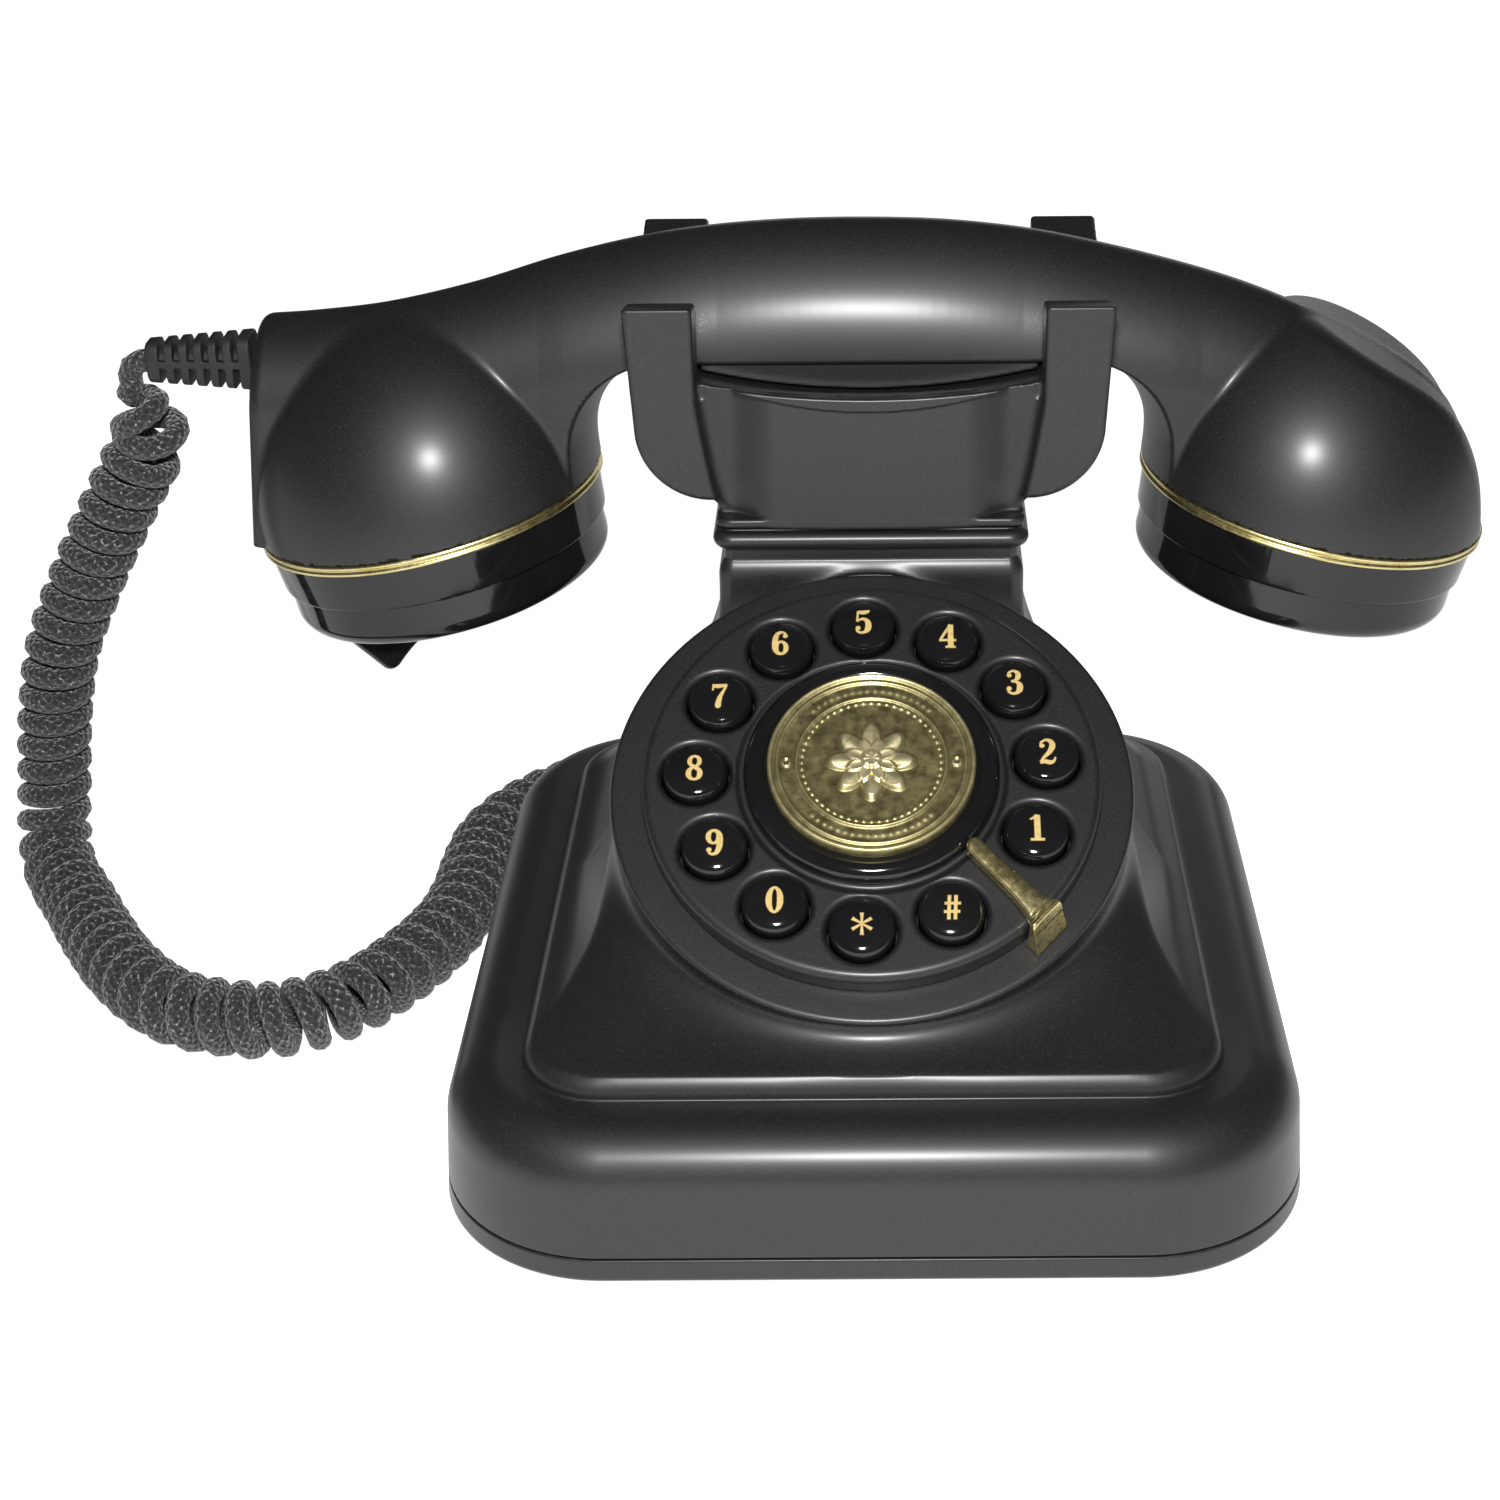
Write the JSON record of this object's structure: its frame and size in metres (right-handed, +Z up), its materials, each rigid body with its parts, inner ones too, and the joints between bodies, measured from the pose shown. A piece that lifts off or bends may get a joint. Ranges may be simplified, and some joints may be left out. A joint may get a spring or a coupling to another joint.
{
  "type": "desk telephone",
  "caption": "Old-fashioned desk telephone with a square stepped base, round keypad, horned cradle, domed handset and curly cord.",
  "frame": {"origin": "middle of the phone's bounding box without its cord, at the surface that the feet stand on", "axes": "+Z up, the keypad faces -Y, +X to the right as seen from the front; the handset lies along X"},
  "size_m": [0.3153, 0.1808, 0.1509],
  "materials": {
    "shell": "satin black moulded plastic with a fine grain",
    "gloss": "polished black plastic",
    "gold": "polished gold plating",
    "medal": "antique brass, darker in the recesses",
    "rubber": "matte black rubber",
    "board": "green circuit board",
    "steel": "plated steel",
    "cord": "black braided sleeve with pale flecks"
  },
  "bodies": {
    "base": {"base_housing": "shell", "bottom_tray": "shell", "keypad_disc": "shell", "cradle": "shell", "handset_jack": "gloss", "line_jack": "gloss", "ringer": "gloss", "hook_switch": "gloss", "keypad_boss": "gloss", "cord_plug": "gloss", "finger_stop": "gold", "medallion": "medal", "foot_front_left": "rubber", "foot_front_right": "rubber", "foot_rear_left": "rubber", "foot_rear_right": "rubber", "keypad_mat": "rubber", "main_board": "board", "keypad_board": "board", "ballast_plate": "steel", "screw_front_left": "steel", "screw_front_right": "steel", "screw_rear_left": "steel", "screw_rear_right": "steel", "cord_lead_handset": "cord", "cord_curl": "cord", "cord_lead_base": "cord"},
    "hook": {"hook_bar": "gloss", "hook_plunger_left": "gloss", "hook_plunger_right": "gloss"},
    "handset": {"handset_shell": "shell", "handset_insert": "shell", "handset_weight": "steel", "ear_ring": "gold", "mouth_ring": "gold", "ear_cap": "gloss", "mouth_cap": "gloss", "microphone": "steel", "receiver": "steel", "mouth_spout": "gloss", "handset_strain_relief": "rubber"},
    "key_1_button": {"key_1": "gloss"},
    "key_2_button": {"key_2": "gloss"},
    "key_3_button": {"key_3": "gloss"},
    "key_4_button": {"key_4": "gloss"},
    "key_5_button": {"key_5": "gloss"},
    "key_6_button": {"key_6": "gloss"},
    "key_7_button": {"key_7": "gloss"},
    "key_8_button": {"key_8": "gloss"},
    "key_9_button": {"key_9": "gloss"},
    "key_0_button": {"key_0": "gloss"},
    "key_star_button": {"key_star": "gloss"},
    "key_hash_button": {"key_hash": "gloss"}
  },
  "joints": [
    {"name": "handset_lift", "type": "slide", "parent": "base", "child": "handset", "axis": [0, 0, 1], "range_m": [0, 0.12]},
    {"name": "hook_rise", "type": "slide", "parent": "base", "child": "hook", "axis": [0, 0, 1], "range_m": [0, 0.004]},
    {"name": "key_1_press", "type": "slide", "parent": "base", "child": "key_1_button", "axis": [0, 0.5, -0.866], "range_m": [0, 0.0015], "stiffness_N_per_m": 300, "springref_m": -0.001},
    {"name": "key_2_press", "type": "slide", "parent": "base", "child": "key_2_button", "axis": [0, 0.5, -0.866], "range_m": [0, 0.0015], "stiffness_N_per_m": 300, "springref_m": -0.001},
    {"name": "key_3_press", "type": "slide", "parent": "base", "child": "key_3_button", "axis": [0, 0.5, -0.866], "range_m": [0, 0.0015], "stiffness_N_per_m": 300, "springref_m": -0.001},
    {"name": "key_4_press", "type": "slide", "parent": "base", "child": "key_4_button", "axis": [0, 0.5, -0.866], "range_m": [0, 0.0015], "stiffness_N_per_m": 300, "springref_m": -0.001},
    {"name": "key_5_press", "type": "slide", "parent": "base", "child": "key_5_button", "axis": [0, 0.5, -0.866], "range_m": [0, 0.0015], "stiffness_N_per_m": 300, "springref_m": -0.001},
    {"name": "key_6_press", "type": "slide", "parent": "base", "child": "key_6_button", "axis": [0, 0.5, -0.866], "range_m": [0, 0.0015], "stiffness_N_per_m": 300, "springref_m": -0.001},
    {"name": "key_7_press", "type": "slide", "parent": "base", "child": "key_7_button", "axis": [0, 0.5, -0.866], "range_m": [0, 0.0015], "stiffness_N_per_m": 300, "springref_m": -0.001},
    {"name": "key_8_press", "type": "slide", "parent": "base", "child": "key_8_button", "axis": [0, 0.5, -0.866], "range_m": [0, 0.0015], "stiffness_N_per_m": 300, "springref_m": -0.001},
    {"name": "key_9_press", "type": "slide", "parent": "base", "child": "key_9_button", "axis": [0, 0.5, -0.866], "range_m": [0, 0.0015], "stiffness_N_per_m": 300, "springref_m": -0.001},
    {"name": "key_0_press", "type": "slide", "parent": "base", "child": "key_0_button", "axis": [0, 0.5, -0.866], "range_m": [0, 0.0015], "stiffness_N_per_m": 300, "springref_m": -0.001},
    {"name": "key_star_press", "type": "slide", "parent": "base", "child": "key_star_button", "axis": [0, 0.5, -0.866], "range_m": [0, 0.0015], "stiffness_N_per_m": 300, "springref_m": -0.001},
    {"name": "key_hash_press", "type": "slide", "parent": "base", "child": "key_hash_button", "axis": [0, 0.5, -0.866], "range_m": [0, 0.0015], "stiffness_N_per_m": 300, "springref_m": -0.001}
  ],
  "couplings": [
    {"joint": "hook_rise", "follows": "handset_lift", "ratio": 0.033333}
  ]
}
